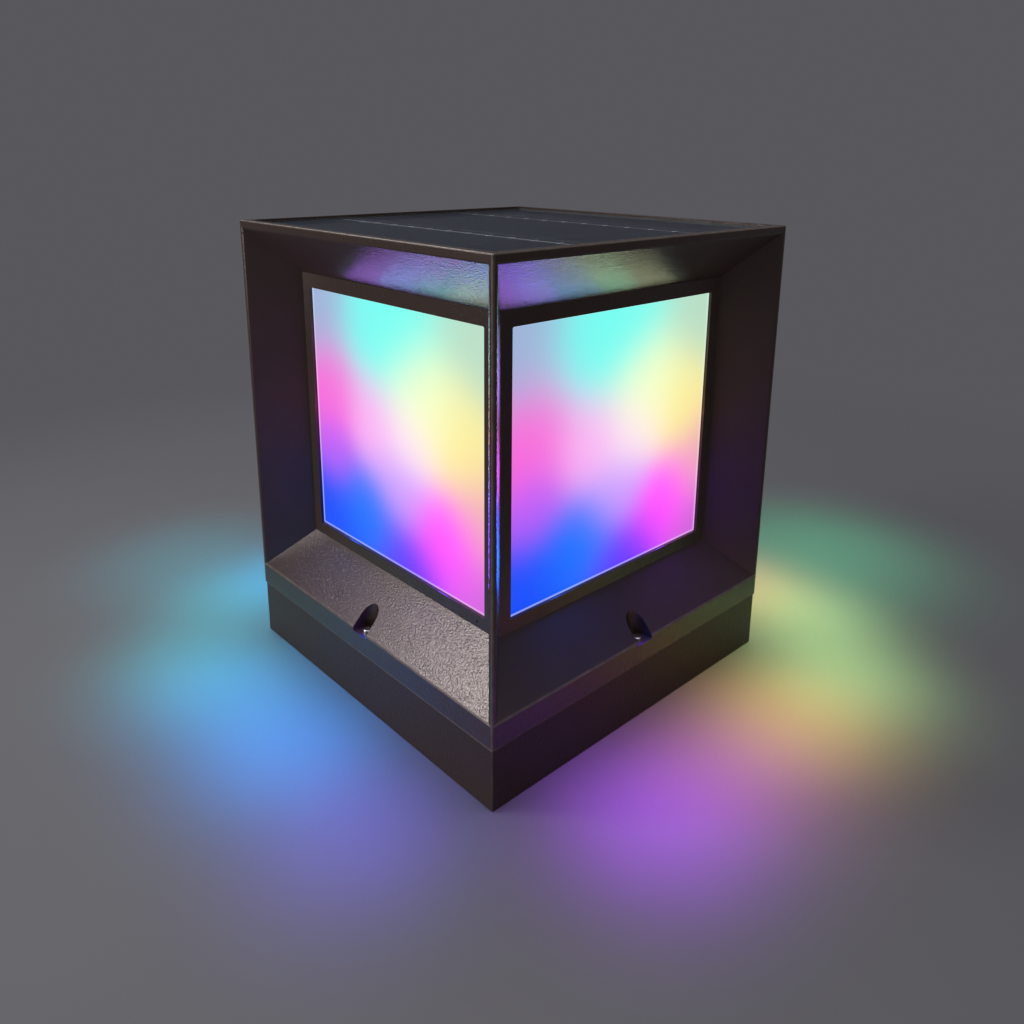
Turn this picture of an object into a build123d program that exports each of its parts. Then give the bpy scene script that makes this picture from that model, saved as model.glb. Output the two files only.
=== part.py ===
from build123d import *
import math
import os

# Solar light for the top of a square column, 250 mm square and 298.5 mm high.
# Origin: centre of the plinth's underside. +Z up, front is -Y, right is +X.
# All sizes are in millimetres.

# Outer form
column_width = 250.0
plinth_height = 38.5
plinth_inset = 0.6
skirt_band = 15.0
bottom_slope_rise = 28.0
frame_margin_bottom = 8.0
window_height = 166.5
frame_margin_top = 9.2
top_slope_rise = 28.6
top_band = 4.7
post_width = 3.0
side_slope_run = 26.6
frame_margin_side = 8.1
recess_depth = 27.3
corner_radius = 0.9
edge_radius = 0.5
window_corner_radius = 1.0

# Walls of the housing
skirt_wall = 3.0
slope_wall = 3.0
frame_thickness = 2.0
top_plate = 2.5
column_corner_chamfer = 4.5
wall_bite = 1.0

# Screw pockets at the middle of each side
pocket_radius = 7.2
pocket_depth = 6.2
pocket_floor_height = 12.5
pocket_wall = 2.5

# Solar panel on top
top_rim = 5.5
panel_sink = 1.0
panel_gap = 0.9
panel_seal_clearance = 0.05
panel_seal_drop = 0.5
cover_thickness = 1.45
tab_thickness = 0.15
tab_width = 1.6
tab_length = 4.5
tab_pitch = 18.9
tab_shift = 5.3
tab_margin = 8.0
cell_thickness = 0.2
cell_margin = 1.6
cell_columns = 12
cell_side_gap = 0.2
cell_row_gap = 1.8
front_row_line = -50.6
back_row_line = 56.0
backboard_thickness = 1.2
adhesive_thickness = 0.5
solar_lead_hole_radius = 4.0

# Diffusers, their seals and clamps
diffuser_thickness = 3.0
diffuser_overlap_side = 3.75
diffuser_overlap_end = 3.2
diffuser_seal_thickness = 0.5
diffuser_seal_margin = 0.8
clamp_thickness = 1.5
clamp_grip = 3.1
clamp_boss_radius = 2.6
clamp_boss_inset = 20.0
clamp_end_gap = 5.9
clamp_boss_gap = 0.7
clamp_screw_length = 5.5

# Remote-control receiver behind the small hole in the front frame
eye_from_frame_side = 14.5
eye_from_frame_bottom = 3.5
eye_hole_radius = 0.85
lens_clearance = 0.05
lens_flange_radius = 1.5
lens_flange_thickness = 0.5
lens_sink = 0.2
receiver_board_width = 20.0
receiver_board_height = 15.0
receiver_board_thickness = 1.2
receiver_top_gap = 0.3
receiver_post_radius = 2.3
receiver_post_spacing = 15.6
receiver_post_drop = 3.8
receiver_eye_width = 6.0
receiver_eye_height = 6.4
receiver_screw_length = 4.5

# Tray that closes the head from below
tray_thickness = 3.0
tray_above_seam = 6.3
tray_side_gap = 0.6
tray_corner_radius = 2.0
gasket_thickness = 0.8
gasket_overlap = 0.4
gasket_play = 0.2
seal_rib_thickness = 2.5
lip_thickness = 1.4
lip_height = 2.2
tray_boss_radius = 4.5
tray_boss_gap = 0.5
tray_screw_length = 12.0
tray_pilot_depth = 11.0

# Inner light tower
tower_wall = 2.0
tower_corner_radius = 3.0
tower_top_gap = 8.0
ear_reach = 9.0
ear_width = 12.0
ear_thickness = 3.0
ear_inset = 20.0
ear_hole_reach = 5.0
small_boss_radius = 3.5
small_boss_height = 6.0
ear_screw_length = 8.0
ear_pilot_depth = 5.5
light_board_margin = 2.0
light_board_thickness = 1.6
light_board_foot = 26.2
light_board_head = 3.2
light_board_screw_inset = 6.0
light_board_screw_length = 5.0
package_size = 5.0
package_thickness = 1.6
package_side_inset = 13.0
package_end_inset = 32.0
light_plug_width = 8.0
light_plug_height = 5.0
light_plug_depth = 3.0
light_plug_foot = 3.5

# Battery, its well and door
battery_radius = 16.1
battery_length = 70.5
battery_pitch = 34.0
battery_side_clearance = 0.6
battery_top_clearance = 0.5
contact_thickness = 1.2
contact_size = 24.0
contact_clearance = 0.3
well_wall = 2.0
foam_thickness = 1.4
foam_margin = 3.0
door_thickness = 2.5
door_gasket_thickness = 0.8
door_gasket_width = 2.5
door_gasket_margin = 1.0
door_rim = 1.5
door_ear = 4.5
door_screw_from_gasket = 3.3
door_screw_spacing = 50.0
door_screw_length = 10.0
door_pilot_depth = 7.5

# Control board
control_width = 96.0
control_lead_room = 10.0
control_end_inset = 2.25
control_thickness = 1.6
control_standoff = 4.0
control_standoff_radius = 3.2
control_hole_inset = 6.0
control_row_inset = 13.0
control_screw_length = 5.5
control_pilot_depth = 4.5
plug_width = 8.0
plug_depth = 7.0
plug_height = 6.5
plug_edge = 0.5
plug_lead_height = 3.3
battery_plug_width = 22.0
capacitor_radius = 4.0
capacitor_height = 11.0

# Push switch under the tray
switch_neck_radius = 6.0
switch_neck_length = 8.5
switch_neck_clearance = 0.15
switch_flange_radius = 8.0
switch_flange_thickness = 1.6
switch_case_width = 12.0
switch_case_height = 9.4
switch_seal_thickness = 0.8
switch_nut_width = 15.0
switch_nut_thickness = 2.2
button_radius = 4.2
button_stand_out = 3.2
button_clearance = 0.08
button_travel = 2.0
button_collar_radius = 4.9
button_collar_height = 1.4
button_collar_play = 0.1
button_stem_radius = 2.0
button_stem_height = 2.0
button_mouth = 2.4
button_end_room = 1.0

# Plinth
plinth_wall = 3.0
plinth_floor = 3.5
tongue_height = 5.5
tongue_depth = 8.0
tongue_clearance = 0.6
tongue_thickness = 2.4
tongue_boss_gap = 0.8
anchor_spacing = 160.0
anchor_hole_radius = 3.25
anchor_pad_radius = 10.0
anchor_pad_height = 3.0
drain_spacing = 80.0
drain_radius = 2.5
rib_thickness = 2.5
rib_height = 5.0
plinth_boss_radius = 5.6
insert_radius = 2.3
insert_length = 8.0
insert_clearance = 0.05
insert_bore_depth = 11.0

# Screws
m3_radius = 1.5
m3_hole_radius = 1.7
m3_head_radius = 2.8
m3_head_height = 2.0
head_screw_length = 20.0
small_radius = 1.2
small_hole_radius = 1.4
small_head_radius = 2.2
small_head_height = 1.4
thread_clearance = 0.06
cross_width = 0.8
cross_length = 3.2
cross_depth = 1.1

# Leads inside the head
lead_radius = 1.1
lead_gap = 0.4
lead_bend = 3.5
battery_lead_radius = 0.6
battery_lead_bend = 2.5
battery_lead_spacing = 16.0
light_lead_along = 20.0
receiver_lead_along = 40.0
lead_hole_below_board = 8.0
lead_rise_from_wall = 5.0
receiver_lead_run = 11.0
receiver_lead_turn = 12.0
receiver_lead_height = 4.0

# Outer levels and reaches
half_width = column_width / 2
seam_z = plinth_height
crease_z = seam_z + skirt_band
frame_bottom_z = crease_z + bottom_slope_rise
window_bottom_z = frame_bottom_z + frame_margin_bottom
window_top_z = window_bottom_z + window_height
window_middle_z = (window_bottom_z + window_top_z) / 2
frame_top_z = window_top_z + frame_margin_top
band_z = frame_top_z + top_slope_rise
top_z = band_z + top_band
recess_half = half_width - post_width
frame_half = recess_half - side_slope_run
window_half = frame_half - frame_margin_side
frame_reach = half_width - recess_depth
pocket_reach = half_width - pocket_depth
pocket_floor_z = seam_z + pocket_floor_height
pocket_boss_radius = pocket_radius + pocket_wall

# Planes of the pieces behind each window
flange_back = frame_reach - frame_thickness
diffuser_front = flange_back - diffuser_seal_thickness
diffuser_back = diffuser_front - diffuser_thickness
clamp_back = diffuser_back - clamp_thickness
diffuser_half = window_half + diffuser_overlap_side
diffuser_bottom_z = window_bottom_z - diffuser_overlap_end
diffuser_top_z = window_top_z + diffuser_overlap_end
clamp_low_z = diffuser_bottom_z - clamp_boss_gap - clamp_boss_radius
clamp_high_z = diffuser_top_z + clamp_boss_gap + clamp_boss_radius

# Layers of the solar panel, from the top down
cover_top_z = top_z - panel_sink
cover_bottom_z = cover_top_z - cover_thickness
tab_bottom_z = cover_bottom_z - tab_thickness
cell_bottom_z = tab_bottom_z - cell_thickness
backboard_bottom_z = cell_bottom_z - backboard_thickness
panel_floor_z = backboard_bottom_z - adhesive_thickness
top_plate_z = panel_floor_z - top_plate
panel_pocket_half = half_width - top_rim
panel_half = panel_pocket_half - panel_gap

# Tray, its lips and gasket
tray_bottom_z = seam_z + tray_above_seam
tray_top_z = tray_bottom_z + tray_thickness
gasket_top_z = tray_top_z + gasket_thickness
tray_half = pocket_reach - pocket_boss_radius - tray_side_gap
outer_lip_inner = tray_half - lip_thickness
gasket_outer = outer_lip_inner - gasket_play
seal_rib_outer = gasket_outer - gasket_overlap
seal_rib_inner = seal_rib_outer - seal_rib_thickness
gasket_inner = seal_rib_inner - gasket_overlap
inner_lip_outer = gasket_inner - gasket_play
inner_lip_inner = inner_lip_outer - lip_thickness
tray_boss_reach = inner_lip_inner - tray_boss_gap - tray_boss_radius

# Light tower
tower_width = control_width + 2 * (control_lead_room + tower_wall)
tower_half = tower_width / 2
ear_spacing = tower_width - 2 * ear_inset
tower_top_z = frame_top_z - tower_top_gap
ear_bottom_z = tray_top_z + small_boss_height
ear_top_z = ear_bottom_z + ear_thickness
light_board_bottom_z = tray_top_z + light_board_foot
light_board_top_z = tower_top_z - light_board_head
light_board_middle_z = (light_board_bottom_z + light_board_top_z) / 2
light_board_face = tower_half + light_board_thickness
light_board_width = tower_width - 2 * (tower_corner_radius + light_board_margin)
package_spacing = light_board_width - 2 * package_side_inset
package_pitch = (light_board_top_z - light_board_bottom_z) / 2 - package_end_inset
light_plug_bottom_z = light_board_bottom_z + light_plug_foot

# Battery and control board
door_top_z = tray_bottom_z - door_gasket_thickness
door_bottom_z = door_top_z - door_thickness
battery_z = door_top_z + foam_thickness + battery_radius
well_roof_z = battery_z + battery_radius + battery_top_clearance
well_half_x = battery_pitch / 2 + battery_radius + battery_side_clearance
well_half_y = battery_length / 2 + contact_thickness + contact_clearance
door_gasket_x = well_half_x + door_gasket_margin + door_gasket_width
door_gasket_y = well_half_y + door_gasket_margin + door_gasket_width
door_screw_x = door_gasket_x + door_screw_from_gasket
control_length = battery_length - 2 * control_end_inset
control_hole_x = (light_lead_along + receiver_lead_along) / 2
control_hole_y = control_length / 2 - control_hole_inset
solar_lead_x = control_hole_x
solar_lead_y = control_length / 2 - control_row_inset
control_bottom_z = well_roof_z + well_wall + control_standoff
control_top_z = control_bottom_z + control_thickness
plug_top_z = control_top_z + plug_height
lead_entry_z = control_top_z + plug_lead_height
lead_hole_z = light_board_bottom_z - lead_hole_below_board
lead_rise_reach = tower_half - tower_wall - lead_rise_from_wall

# Receiver
eye_x = frame_half - eye_from_frame_side
clamp_length = 2 * (eye_x - receiver_board_width / 2 - clamp_end_gap)
clamp_boss_spacing = clamp_length - 2 * clamp_boss_inset
eye_z = frame_bottom_z + eye_from_frame_bottom
receiver_top_z = diffuser_bottom_z - receiver_top_gap
receiver_post_z = diffuser_bottom_z - receiver_post_drop
receiver_board_back = diffuser_back - receiver_board_thickness

# Switch, in the middle of the room between the tower and the tray's bosses, from the nut up
switch_y = -(tower_half + tray_boss_reach - tray_boss_radius) / 2
switch_flange_z = tray_top_z + switch_seal_thickness
switch_neck_z = switch_flange_z - switch_neck_length
switch_case_z = switch_flange_z + switch_flange_thickness
switch_top_z = switch_case_z + switch_case_height
button_bottom_z = switch_neck_z - button_stand_out
button_step_z = switch_neck_z + button_mouth
button_collar_z = button_step_z + button_collar_play
button_top_z = button_collar_z + button_collar_height + button_stem_height
button_bore_z = button_top_z + button_travel + button_end_room

# Plinth
shoulder_reach = half_width - plinth_inset
plinth_inner = shoulder_reach - plinth_wall
tongue_outer = half_width - skirt_wall - tongue_clearance
tongue_inner = tongue_outer - tongue_thickness

# Inner faces of the housing's slopes: the outer slopes moved in by the wall, measured upright
bottom_slope = bottom_slope_rise / recess_depth
top_slope = top_slope_rise / recess_depth
side_slope = side_slope_run / recess_depth
bottom_inner_z = crease_z - slope_wall * math.hypot(1, bottom_slope)
top_inner_z = band_z + slope_wall * math.hypot(1, top_slope)

SIDES = range(4)
SIDE_NAMES = ["front", "right", "back", "left"]
os.makedirs("parts", exist_ok=True)


def side_plane(side, reach, height=0.0, along=0.0):
    """Upright plane on side 0 front, 1 right, 2 back or 3 left: X to the right seen from outside, Y up."""
    turn = math.radians(90 * side)
    outward = Vector(math.sin(turn), -math.cos(turn), 0)
    sideways = Vector(math.cos(turn), math.sin(turn), 0)
    origin = outward * reach + sideways * along + Vector(0, 0, height)
    return Plane(origin=origin, x_dir=sideways, z_dir=outward)


def side_point(side, along, reach, height=0.0):
    """Point at a distance along a side, a reach out from the middle and a height."""
    return side_plane(side, reach, height, along).origin


def downward_spot(x, y, z):
    """Place whose own Z axis points down."""
    return Location(Plane(origin=(x, y, z), x_dir=(1, 0, 0), z_dir=(0, 0, -1)))


def mirrored_spots(x, y):
    """Four places, one in each quarter."""
    return [(sign_x * x, sign_y * y) for sign_x in (-1, 1) for sign_y in (-1, 1)]


def ring_spots(reach):
    """The four corners and four mid-sides of a square."""
    steps = (-reach, 0, reach)
    return [(x, y) for x in steps for y in steps if (x, y) != (0, 0)]


def recess_section(depth, grow=0.0):
    """Width, height and middle height of a window recess at a depth, grown all round."""
    width = 2 * (recess_half - depth * side_slope + grow)
    low = crease_z + depth * bottom_slope - grow
    high = band_z - depth * top_slope + grow
    return width, high - low, (low + high) / 2


def bottom_inner(reach):
    """Height of the inner face of the bottom slope at a reach."""
    return bottom_inner_z + (half_width - reach) * bottom_slope


def top_inner(reach):
    """Height of the inner face of the top slope at a reach."""
    return top_inner_z - (half_width - reach) * top_slope


def pan_head_screw(length):
    """M3 screw: rounded head with a cross recess on the XY plane, shank down from it."""
    with BuildPart() as screw:
        with BuildSketch(Plane.XY):
            Circle(m3_head_radius)
        extrude(amount=m3_head_height)
        fillet(screw.faces().sort_by(Axis.Z)[-1].edges(), m3_head_height * 0.45)
        with BuildSketch(Plane.XY.offset(m3_head_height - cross_depth)):
            Rectangle(cross_length, cross_width)
            Rectangle(cross_width, cross_length)
        extrude(amount=cross_depth, mode=Mode.SUBTRACT)
        with BuildSketch(Plane.XY):
            Circle(m3_radius)
        extrude(amount=-length)
    return screw.part


def slotted_screw(length):
    """Small inner screw: flat round head with one slot on the XY plane, shank down from it."""
    with BuildPart() as screw:
        with BuildSketch(Plane.XY):
            Circle(small_head_radius)
        extrude(amount=small_head_height)
        with BuildSketch(Plane.XY.offset(small_head_height / 2)):
            Rectangle(2 * small_head_radius, cross_width)
        extrude(amount=small_head_height / 2, mode=Mode.SUBTRACT)
        with BuildSketch(Plane.XY):
            Circle(small_radius)
        extrude(amount=-length)
    return screw.part


def lead_tube(points, radius, bend):
    """Round lead along straight runs joined by equal arcs."""
    with BuildLine() as route:
        FilletPolyline(*points, radius=bend)
    path = route.wire()
    with BuildPart() as tube:
        with BuildSketch(Plane(origin=path @ 0, z_dir=path % 0)):
            Circle(radius)
        sweep(path=path)
    return tube.part


def finish(builder, name):
    """Name a finished piece and write it to its own file."""
    builder.part.label = name
    export_step(builder.part, f"parts/{name}.step")


# Places that more than one piece shares
clamp_xs = (-clamp_boss_spacing / 2, clamp_boss_spacing / 2)
clamp_spots = [(x, z) for x in clamp_xs for z in (clamp_low_z, clamp_high_z)]
receiver_post_spots = [(eye_x + sign * receiver_post_spacing / 2, receiver_post_z) for sign in (-1, 1)]
ear_spots = mirrored_spots(tower_half + ear_hole_reach, ear_spacing / 2)
door_screw_spots = mirrored_spots(door_screw_x, door_screw_spacing / 2)
control_hole_spots = mirrored_spots(control_hole_x, control_hole_y)
tray_screw_spots = ring_spots(tray_boss_reach)
light_board_screw_spots = [
    (0, light_board_bottom_z + light_board_screw_inset),
    (0, light_board_top_z - light_board_screw_inset),
]
battery_lead_y = battery_length / 2 + contact_thickness / 2
battery_lead_spots = [(sign * battery_lead_spacing / 2, battery_lead_y) for sign in (-1, 1)]
wall_leads = [[light_lead_along, 0, receiver_lead_along]] + 3 * [[light_lead_along]]
plug_faces = 2 * [control_length / 2 - plug_edge, control_width / 2 - plug_edge]

# Hollow of the housing: skirt, flare in to the column, column, flare out under the top plate
skirt_hollow_half = half_width - skirt_wall
lower_flare_z = bottom_inner(skirt_hollow_half)
lower_column_z = bottom_inner(flange_back)
upper_column_z = top_inner(flange_back)
upper_flare_half = half_width - (top_inner_z - top_plate_z) / top_slope

with BuildPart() as hollow:
    with BuildSketch(Plane.XY.offset(seam_z)):
        Rectangle(2 * skirt_hollow_half, 2 * skirt_hollow_half)
    extrude(amount=lower_flare_z - seam_z)
    with BuildSketch(Plane.XY.offset(lower_flare_z)):
        Rectangle(2 * skirt_hollow_half, 2 * skirt_hollow_half)
    with BuildSketch(Plane.XY.offset(lower_column_z)):
        Rectangle(2 * flange_back, 2 * flange_back)
    loft(ruled=True)
    with BuildSketch(Plane.XY.offset(lower_column_z)) as column_section:
        Rectangle(2 * flange_back, 2 * flange_back)
        chamfer(column_section.vertices(), column_corner_chamfer)
    extrude(amount=upper_column_z - lower_column_z)
    with BuildSketch(Plane.XY.offset(upper_column_z)):
        Rectangle(2 * flange_back, 2 * flange_back)
    with BuildSketch(Plane.XY.offset(top_plate_z)):
        Rectangle(2 * upper_flare_half, 2 * upper_flare_half)
    loft(ruled=True)

# Housing: one moulding with four mitred recesses, diagonal corner fins and screw pockets
boss_rise = flange_back - diffuser_back + wall_bite
with BuildPart() as housing:
    with BuildSketch(Plane.XY.offset(seam_z)):
        Rectangle(column_width, column_width)
    extrude(amount=top_z - seam_z)
    fillet(housing.edges().filter_by(Axis.Z), corner_radius)
    fillet(housing.faces().sort_by(Axis.Z)[-1].edges(), corner_radius)
    chamfer(housing.faces().sort_by(Axis.Z)[0].edges(), edge_radius)
    add(hollow.part, mode=Mode.SUBTRACT)
    # Rib that presses on the tray gasket
    with BuildSketch(Plane.XY.offset(gasket_top_z)):
        Rectangle(2 * seal_rib_outer, 2 * seal_rib_outer)
        Rectangle(2 * seal_rib_inner, 2 * seal_rib_inner, mode=Mode.SUBTRACT)
    extrude(amount=bottom_inner(seal_rib_inner) + wall_bite - gasket_top_z)
    # Bosses for the tray screws
    with BuildSketch(Plane.XY.offset(tray_top_z)):
        with Locations(*tray_screw_spots):
            Circle(tray_boss_radius)
    extrude(amount=bottom_inner(tray_boss_reach) + wall_bite - tray_top_z)
    # Round walls of the screw pockets, down to the seam
    with BuildSketch(Plane.XY.offset(seam_z)):
        with Locations(*[side_point(side, 0, pocket_reach) for side in SIDES]):
            Circle(pocket_boss_radius)
        Rectangle(2 * (half_width - wall_bite), 2 * (half_width - wall_bite), mode=Mode.INTERSECT)
    extrude(amount=frame_bottom_z - seam_z)
    # Recesses: four slopes that meet in mitres and end at a flat frame, with softened rims
    for side in SIDES:
        for depth, grow in ((recess_depth, 0.0), (edge_radius, edge_radius)):
            mouth_width, mouth_height, mouth_z = recess_section(0, grow)
            floor_width, floor_height, floor_z = recess_section(depth)
            with BuildSketch(side_plane(side, half_width, mouth_z)):
                Rectangle(mouth_width, mouth_height)
            with BuildSketch(side_plane(side, half_width - depth, floor_z)):
                Rectangle(floor_width, floor_height)
            loft(ruled=True, mode=Mode.SUBTRACT)
    # Windows through the frames
    for side in SIDES:
        with BuildSketch(side_plane(side, frame_reach, window_middle_z)):
            RectangleRounded(2 * window_half, window_height, window_corner_radius)
        extrude(amount=-frame_thickness, mode=Mode.SUBTRACT)
    # Screw pockets: round at the back and open to the outside, with a hole down to the seam
    for side in SIDES:
        with BuildSketch(Plane.XY.offset(pocket_floor_z)):
            with Locations(side_point(side, 0, pocket_reach)):
                Circle(pocket_radius)
            with Locations(side_point(side, 0, half_width)):
                Rectangle(2 * pocket_radius, 2 * pocket_depth, rotation=90 * side)
        extrude(amount=frame_bottom_z - pocket_floor_z, mode=Mode.SUBTRACT)
        with BuildSketch(Plane.XY.offset(seam_z)):
            with Locations(side_point(side, 0, pocket_reach)):
                Circle(m3_hole_radius)
        extrude(amount=pocket_floor_z - seam_z, mode=Mode.SUBTRACT)
    # Bosses behind the frames for the diffuser clamps, and posts for the receiver board
    for side in SIDES:
        boss_spots = clamp_spots + (receiver_post_spots if side == 0 else [])
        with BuildSketch(side_plane(side, diffuser_back)):
            with Locations(*clamp_spots):
                Circle(clamp_boss_radius)
            if side == 0:
                with Locations(*receiver_post_spots):
                    Circle(receiver_post_radius)
        extrude(amount=boss_rise)
        with BuildSketch(side_plane(side, diffuser_back)):
            with Locations(*boss_spots):
                Circle(small_radius + thread_clearance)
        extrude(amount=boss_rise, mode=Mode.SUBTRACT)
    # Small hole in the front frame
    with BuildSketch(side_plane(0, flange_back)):
        with Locations((eye_x, eye_z)):
            Circle(eye_hole_radius)
    extrude(amount=frame_thickness, mode=Mode.SUBTRACT)
    # Pocket for the solar panel, its lead hole, and pilot holes for the tray screws
    with BuildSketch(Plane.XY.offset(panel_floor_z)):
        RectangleRounded(2 * panel_pocket_half, 2 * panel_pocket_half, window_corner_radius)
    extrude(amount=top_z - panel_floor_z, mode=Mode.SUBTRACT)
    with BuildSketch(Plane.XY.offset(top_plate_z)):
        with Locations((solar_lead_x, solar_lead_y)):
            Circle(solar_lead_hole_radius)
    extrude(amount=top_plate, mode=Mode.SUBTRACT)
    with BuildSketch(Plane.XY.offset(tray_top_z)):
        with Locations(*tray_screw_spots):
            Circle(m3_radius + thread_clearance)
    extrude(amount=tray_pilot_depth, mode=Mode.SUBTRACT)
finish(housing, "housing")

# Opal diffusers, one behind each window
for side in SIDES:
    with BuildPart() as diffuser:
        with BuildSketch(side_plane(side, diffuser_back, window_middle_z)):
            Rectangle(2 * diffuser_half, diffuser_top_z - diffuser_bottom_z)
        extrude(amount=diffuser_thickness)
    finish(diffuser, f"diffuser_{SIDE_NAMES[side]}")

# Foam seals between the diffusers and their frames
seal_height = diffuser_top_z - diffuser_bottom_z - 2 * diffuser_seal_margin
with BuildPart() as diffuser_seals:
    for side in SIDES:
        with BuildSketch(side_plane(side, diffuser_front, window_middle_z)):
            Rectangle(2 * (diffuser_half - diffuser_seal_margin), seal_height)
            Rectangle(
                2 * (window_half + diffuser_seal_margin),
                window_height + 2 * diffuser_seal_margin,
                mode=Mode.SUBTRACT,
            )
        extrude(amount=diffuser_seal_thickness)
finish(diffuser_seals, "diffuser_seals")

# Bars that press the diffusers on their seals, above and below each window, and their screws
clamp_height = clamp_boss_radius * 2 + clamp_boss_gap + clamp_grip
clamp_low_middle_z = clamp_low_z - clamp_boss_radius + clamp_height / 2
clamp_high_middle_z = clamp_high_z + clamp_boss_radius - clamp_height / 2
with BuildPart() as diffuser_clamps:
    for side in SIDES:
        with BuildSketch(side_plane(side, clamp_back)):
            with Locations((0, clamp_low_middle_z), (0, clamp_high_middle_z)):
                Rectangle(clamp_length, clamp_height)
            with Locations(*clamp_spots):
                Circle(small_hole_radius, mode=Mode.SUBTRACT)
        extrude(amount=clamp_thickness)
finish(diffuser_clamps, "diffuser_clamps")

clamp_screw = slotted_screw(clamp_screw_length).rotate(Axis.X, 180)
with BuildPart() as clamp_screws:
    for side in SIDES:
        with Locations(*[Location(side_plane(side, clamp_back, z, x)) for x, z in clamp_spots]):
            add(clamp_screw)
finish(clamp_screws, "clamp_screws")

# Solar panel: adhesive bed, backboard, three rows of cells, joining tabs, clear cover, edge seal
with BuildPart() as solar_adhesive:
    with BuildSketch(Plane.XY.offset(panel_floor_z)):
        Rectangle(2 * panel_half, 2 * panel_half)
        with Locations((solar_lead_x, solar_lead_y)):
            Circle(solar_lead_hole_radius, mode=Mode.SUBTRACT)
    extrude(amount=adhesive_thickness)
finish(solar_adhesive, "solar_adhesive")

with BuildPart() as solar_backboard:
    with BuildSketch(Plane.XY.offset(backboard_bottom_z)):
        Rectangle(2 * panel_half, 2 * panel_half)
    extrude(amount=backboard_thickness)
finish(solar_backboard, "solar_backboard")

cell_edge = panel_half - cell_margin
cell_pitch = 2 * cell_edge / cell_columns
row_lines = [-cell_edge - cell_row_gap / 2, front_row_line, back_row_line, cell_edge + cell_row_gap / 2]
with BuildPart() as solar_cells:
    with BuildSketch(Plane.XY.offset(cell_bottom_z)):
        for row_front, row_back in zip(row_lines, row_lines[1:]):
            with Locations((0, (row_front + row_back) / 2)):
                with GridLocations(cell_pitch, 1, cell_columns, 1):
                    Rectangle(cell_pitch - cell_side_gap, row_back - row_front - cell_row_gap)
    extrude(amount=cell_thickness)
finish(solar_cells, "solar_cells")


def tab_places(shift):
    """Places along a row line where a tab crosses it, at an even pitch."""
    reach = cell_edge - tab_margin
    first = math.ceil((shift - reach) / tab_pitch)
    last = math.floor((shift + reach) / tab_pitch)
    return [step * tab_pitch - shift for step in range(first, last + 1)]


with BuildPart() as solar_tabs:
    with BuildSketch(Plane.XY.offset(tab_bottom_z)):
        with Locations(*[(x, front_row_line) for x in tab_places(0)]):
            Rectangle(tab_width, tab_length)
        with Locations(*[(x, back_row_line) for x in tab_places(tab_shift)]):
            Rectangle(tab_width, tab_length)
    extrude(amount=tab_thickness)
finish(solar_tabs, "solar_tabs")

with BuildPart() as solar_cover:
    with BuildSketch(Plane.XY.offset(cover_bottom_z)):
        Rectangle(2 * panel_half, 2 * panel_half)
    extrude(amount=cover_thickness)
finish(solar_cover, "solar_cover")

panel_seal_outer = panel_pocket_half - panel_seal_clearance
panel_seal_inner = panel_half + panel_seal_clearance
with BuildPart() as solar_seal:
    with BuildSketch(Plane.XY.offset(panel_floor_z)):
        RectangleRounded(2 * panel_seal_outer, 2 * panel_seal_outer, window_corner_radius)
        Rectangle(2 * panel_seal_inner, 2 * panel_seal_inner, mode=Mode.SUBTRACT)
    extrude(amount=cover_top_z - panel_seal_drop - panel_floor_z)
finish(solar_seal, "solar_seal")

# White inner tower that carries the light boards, open below and closed above
tower_hollow_half = tower_half - tower_wall
with BuildPart() as led_tower:
    with BuildSketch(Plane.XY.offset(tray_top_z)):
        RectangleRounded(tower_width, tower_width, tower_corner_radius)
    extrude(amount=tower_top_z - tray_top_z)
    with BuildSketch(Plane.XY.offset(ear_bottom_z)):
        with GridLocations(1, ear_spacing, 1, 2):
            Rectangle(2 * (tower_half + ear_reach), ear_width)
    extrude(amount=ear_thickness)
    with BuildSketch(Plane.XY.offset(tray_top_z)):
        RectangleRounded(2 * tower_hollow_half, 2 * tower_hollow_half, tower_corner_radius - tower_wall)
    extrude(amount=tower_top_z - tower_wall - tray_top_z, mode=Mode.SUBTRACT)
    with BuildSketch(Plane.XY.offset(ear_bottom_z)):
        with Locations(*ear_spots):
            Circle(small_hole_radius)
    extrude(amount=ear_thickness, mode=Mode.SUBTRACT)
    with BuildSketch(Plane.XY.offset(tower_top_z)):
        with Locations((solar_lead_x, solar_lead_y)):
            Circle(solar_lead_hole_radius)
    extrude(amount=-tower_wall, mode=Mode.SUBTRACT)
    for side in SIDES:
        with BuildSketch(side_plane(side, tower_half)):
            with Locations(*[(along, lead_hole_z) for along in wall_leads[side]]):
                Circle(lead_radius + lead_gap)
            with Locations(*light_board_screw_spots):
                Circle(small_radius + thread_clearance)
        extrude(amount=-tower_wall, mode=Mode.SUBTRACT)
finish(led_tower, "led_tower")

tower_screw = slotted_screw(ear_screw_length)
with BuildPart() as tower_screws:
    with Locations(*[(x, y, ear_top_z) for x, y in ear_spots]):
        add(tower_screw)
finish(tower_screws, "tower_screws")

# Light boards on the tower's four faces, with their light packages, plugs and screws
for side in SIDES:
    with BuildPart() as led_board:
        with BuildSketch(side_plane(side, tower_half)):
            with Locations((0, light_board_middle_z)):
                Rectangle(light_board_width, light_board_top_z - light_board_bottom_z)
            with Locations(*light_board_screw_spots):
                Circle(small_hole_radius, mode=Mode.SUBTRACT)
        extrude(amount=light_board_thickness)
    finish(led_board, f"led_board_{SIDE_NAMES[side]}")

with BuildPart() as led_packages:
    for side in SIDES:
        with BuildSketch(side_plane(side, light_board_face, light_board_middle_z)):
            with GridLocations(package_spacing, package_pitch, 2, 3):
                Rectangle(package_size, package_size)
        extrude(amount=package_thickness)
finish(led_packages, "led_packages")

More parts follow.
